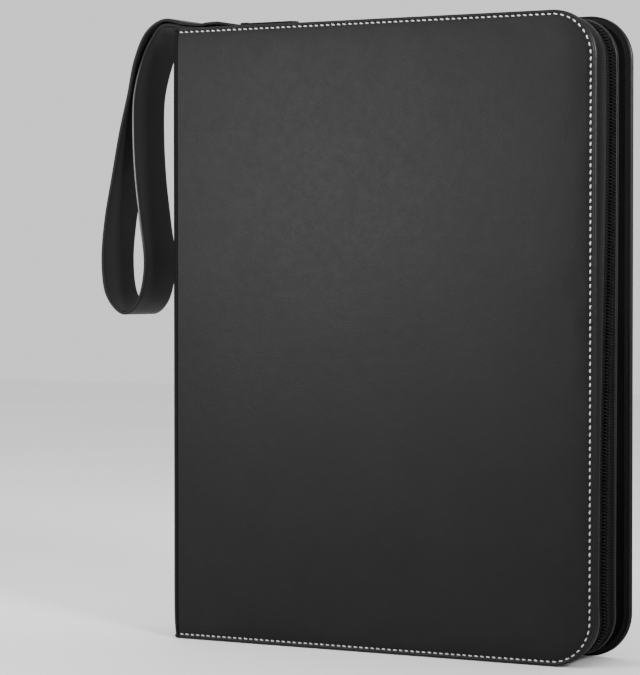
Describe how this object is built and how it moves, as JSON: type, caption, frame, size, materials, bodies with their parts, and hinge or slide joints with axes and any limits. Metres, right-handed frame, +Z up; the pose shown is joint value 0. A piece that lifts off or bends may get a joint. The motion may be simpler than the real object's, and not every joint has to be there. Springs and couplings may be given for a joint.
{
  "type": "trading card binder",
  "caption": "Zip-around card binder in black imitation leather, with a wrist strap at the spine and clear pocket pages on a three-ring mechanism.",
  "frame": {"origin": "middle of the object's box at its base, which is midway between the strap's outermost point and the fore-edge", "axes": "+X from the spine to the fore-edge, front cover faces -Y, +Z up along the spine"},
  "size_m": [0.309, 0.0504, 0.343],
  "materials": {
    "leather": "fine-grained black imitation leather",
    "strap_leather": "black imitation leather with paler cut edges",
    "foam": "thin foam padding",
    "board": "grey board",
    "lining": "black woven lining",
    "webbing": "black ribbed zip tape",
    "coil": "black nylon coil",
    "thread": "light grey sewing thread",
    "ring_steel": "bright nickel plate",
    "dark_steel": "dark satin steel",
    "slider_metal": "black paint",
    "page_film": "frosted clear polypropylene pockets with a white binding strip"
  },
  "bodies": {
    "spine": {"spine_skin": "leather", "spine_foam": "foam", "spine_board": "board", "spine_lining": "lining", "front_hinge_strip": "leather", "back_hinge_strip": "leather", "zip_end_top": "webbing", "zip_end_bottom": "webbing", "strap_anchor": "strap_leather", "ring_base_plate": "dark_steel", "ring_housing": "dark_steel", "ring_rivets": "ring_steel"},
    "front_cover": {"front_skin": "leather", "front_foam": "foam", "front_board": "board", "front_lining": "lining", "front_stitching": "thread", "front_gusset": "webbing", "front_zip_tape": "webbing", "front_zip_coil": "coil"},
    "back_cover": {"back_skin": "leather", "back_foam": "foam", "back_board": "board", "back_lining": "lining", "back_stitching": "thread", "back_gusset": "webbing", "back_zip_tape": "webbing", "back_zip_coil": "coil"},
    "front_ring_halves": {"toggle_plate_front": "dark_steel", "ring_top_front": "ring_steel", "ring_middle_front": "ring_steel", "ring_bottom_front": "ring_steel"},
    "back_ring_halves": {"toggle_plate_back": "dark_steel", "ring_top_back": "ring_steel", "ring_middle_back": "ring_steel", "ring_bottom_back": "ring_steel"},
    "lever_top": {"release_lever_top": "dark_steel"},
    "lever_bottom": {"release_lever_bottom": "dark_steel"},
    "slider": {"zip_slider": "slider_metal"},
    "pull": {"zip_pull": "slider_metal"},
    "strap": {"wrist_strap": "strap_leather"},
    "front_leaf_1_body": {"front_leaf_1": "page_film"},
    "front_leaf_2_body": {"front_leaf_2": "page_film"},
    "front_leaf_3_body": {"front_leaf_3": "page_film"},
    "front_leaf_4_body": {"front_leaf_4": "page_film"},
    "front_leaf_5_body": {"front_leaf_5": "page_film"},
    "front_leaf_6_body": {"front_leaf_6": "page_film"},
    "front_leaf_7_body": {"front_leaf_7": "page_film"},
    "front_leaf_8_body": {"front_leaf_8": "page_film"},
    "back_leaf_1_body": {"back_leaf_1": "page_film"},
    "back_leaf_2_body": {"back_leaf_2": "page_film"},
    "back_leaf_3_body": {"back_leaf_3": "page_film"},
    "back_leaf_4_body": {"back_leaf_4": "page_film"},
    "back_leaf_5_body": {"back_leaf_5": "page_film"},
    "back_leaf_6_body": {"back_leaf_6": "page_film"},
    "back_leaf_7_body": {"back_leaf_7": "page_film"},
    "back_leaf_8_body": {"back_leaf_8": "page_film"}
  },
  "joints": [
    {"name": "front_cover_hinge", "type": "hinge", "parent": "spine", "child": "front_cover", "pos_m": [-0.1004, -0.0239, 0.168], "axis": [0, 0, -1], "range_deg": [0, 90]},
    {"name": "back_cover_hinge", "type": "hinge", "parent": "spine", "child": "back_cover", "pos_m": [-0.1004, 0.0239, 0.168], "axis": [0, 0, 1], "range_deg": [0, 90]},
    {"name": "ring_opening", "type": "hinge", "parent": "spine", "child": "front_ring_halves", "pos_m": [-0.095, -0.008, 0.168], "axis": [0, 0, -1], "range_deg": [0, 11]},
    {"name": "ring_opening_back", "type": "hinge", "parent": "spine", "child": "back_ring_halves", "pos_m": [-0.095, 0.008, 0.168], "axis": [0, 0, 1], "range_deg": [0, 11]},
    {"name": "lever_top_pivot", "type": "hinge", "parent": "spine", "child": "lever_top", "pos_m": [-0.0943, 0, 0.301], "axis": [0, -1, 0], "range_deg": [0, 12]},
    {"name": "lever_bottom_pivot", "type": "hinge", "parent": "spine", "child": "lever_bottom", "pos_m": [-0.0943, 0, 0.035], "axis": [0, 1, 0], "range_deg": [0, 12]},
    {"name": "zip_travel", "type": "slide", "parent": "spine", "child": "slider", "axis": [-1, 0, 0], "range_m": [-0.17, 0]},
    {"name": "pull_pivot", "type": "hinge", "parent": "slider", "child": "pull", "pos_m": [-0.0685, 0, 0.3382], "axis": [0, -1, 0], "range_deg": [0, 90]},
    {"name": "strap_swing", "type": "hinge", "parent": "spine", "child": "strap", "pos_m": [-0.0895, 0, 0.3375], "axis": [0, 1, 0], "range_deg": [0, 100]},
    {"name": "front_leaf_1_turn", "type": "hinge", "parent": "spine", "child": "front_leaf_1_body", "pos_m": [-0.0825, 0, 0.168], "axis": [0, 0, -1], "range_deg": [0, 92]},
    {"name": "front_leaf_2_turn", "type": "hinge", "parent": "spine", "child": "front_leaf_2_body", "pos_m": [-0.0825, 0, 0.168], "axis": [0, 0, -1], "range_deg": [0, 92]},
    {"name": "front_leaf_3_turn", "type": "hinge", "parent": "spine", "child": "front_leaf_3_body", "pos_m": [-0.0825, 0, 0.168], "axis": [0, 0, -1], "range_deg": [0, 92]},
    {"name": "front_leaf_4_turn", "type": "hinge", "parent": "spine", "child": "front_leaf_4_body", "pos_m": [-0.0825, 0, 0.168], "axis": [0, 0, -1], "range_deg": [0, 92]},
    {"name": "front_leaf_5_turn", "type": "hinge", "parent": "spine", "child": "front_leaf_5_body", "pos_m": [-0.0825, 0, 0.168], "axis": [0, 0, -1], "range_deg": [0, 92]},
    {"name": "front_leaf_6_turn", "type": "hinge", "parent": "spine", "child": "front_leaf_6_body", "pos_m": [-0.0825, 0, 0.168], "axis": [0, 0, -1], "range_deg": [0, 92]},
    {"name": "front_leaf_7_turn", "type": "hinge", "parent": "spine", "child": "front_leaf_7_body", "pos_m": [-0.0825, 0, 0.168], "axis": [0, 0, -1], "range_deg": [0, 92]},
    {"name": "front_leaf_8_turn", "type": "hinge", "parent": "spine", "child": "front_leaf_8_body", "pos_m": [-0.0825, 0, 0.168], "axis": [0, 0, -1], "range_deg": [0, 92]},
    {"name": "back_leaf_1_turn", "type": "hinge", "parent": "spine", "child": "back_leaf_1_body", "pos_m": [-0.0825, 0, 0.168], "axis": [0, 0, 1], "range_deg": [0, 92]},
    {"name": "back_leaf_2_turn", "type": "hinge", "parent": "spine", "child": "back_leaf_2_body", "pos_m": [-0.0825, 0, 0.168], "axis": [0, 0, 1], "range_deg": [0, 92]},
    {"name": "back_leaf_3_turn", "type": "hinge", "parent": "spine", "child": "back_leaf_3_body", "pos_m": [-0.0825, 0, 0.168], "axis": [0, 0, 1], "range_deg": [0, 92]},
    {"name": "back_leaf_4_turn", "type": "hinge", "parent": "spine", "child": "back_leaf_4_body", "pos_m": [-0.0825, 0, 0.168], "axis": [0, 0, 1], "range_deg": [0, 92]},
    {"name": "back_leaf_5_turn", "type": "hinge", "parent": "spine", "child": "back_leaf_5_body", "pos_m": [-0.0825, 0, 0.168], "axis": [0, 0, 1], "range_deg": [0, 92]},
    {"name": "back_leaf_6_turn", "type": "hinge", "parent": "spine", "child": "back_leaf_6_body", "pos_m": [-0.0825, 0, 0.168], "axis": [0, 0, 1], "range_deg": [0, 92]},
    {"name": "back_leaf_7_turn", "type": "hinge", "parent": "spine", "child": "back_leaf_7_body", "pos_m": [-0.0825, 0, 0.168], "axis": [0, 0, 1], "range_deg": [0, 92]},
    {"name": "back_leaf_8_turn", "type": "hinge", "parent": "spine", "child": "back_leaf_8_body", "pos_m": [-0.0825, 0, 0.168], "axis": [0, 0, 1], "range_deg": [0, 92]}
  ],
  "couplings": [
    {"joint": "ring_opening_back", "follows": "ring_opening", "ratio": 1},
    {"joint": "lever_top_pivot", "follows": "ring_opening", "ratio": 1},
    {"joint": "lever_bottom_pivot", "follows": "ring_opening", "ratio": 1},
    {"joint": "front_leaf_1_turn", "follows": "front_cover_hinge", "ratio": 1.02},
    {"joint": "front_leaf_2_turn", "follows": "front_cover_hinge", "ratio": 1.02},
    {"joint": "front_leaf_3_turn", "follows": "front_cover_hinge", "ratio": 1.02},
    {"joint": "front_leaf_4_turn", "follows": "front_cover_hinge", "ratio": 1.02},
    {"joint": "front_leaf_5_turn", "follows": "front_cover_hinge", "ratio": 1.02},
    {"joint": "front_leaf_6_turn", "follows": "front_cover_hinge", "ratio": 1.02},
    {"joint": "front_leaf_7_turn", "follows": "front_cover_hinge", "ratio": 1.02},
    {"joint": "front_leaf_8_turn", "follows": "front_cover_hinge", "ratio": 1.02},
    {"joint": "back_leaf_1_turn", "follows": "back_cover_hinge", "ratio": 1.02},
    {"joint": "back_leaf_2_turn", "follows": "back_cover_hinge", "ratio": 1.02},
    {"joint": "back_leaf_3_turn", "follows": "back_cover_hinge", "ratio": 1.02},
    {"joint": "back_leaf_4_turn", "follows": "back_cover_hinge", "ratio": 1.02},
    {"joint": "back_leaf_5_turn", "follows": "back_cover_hinge", "ratio": 1.02},
    {"joint": "back_leaf_6_turn", "follows": "back_cover_hinge", "ratio": 1.02},
    {"joint": "back_leaf_7_turn", "follows": "back_cover_hinge", "ratio": 1.02},
    {"joint": "back_leaf_8_turn", "follows": "back_cover_hinge", "ratio": 1.02}
  ]
}
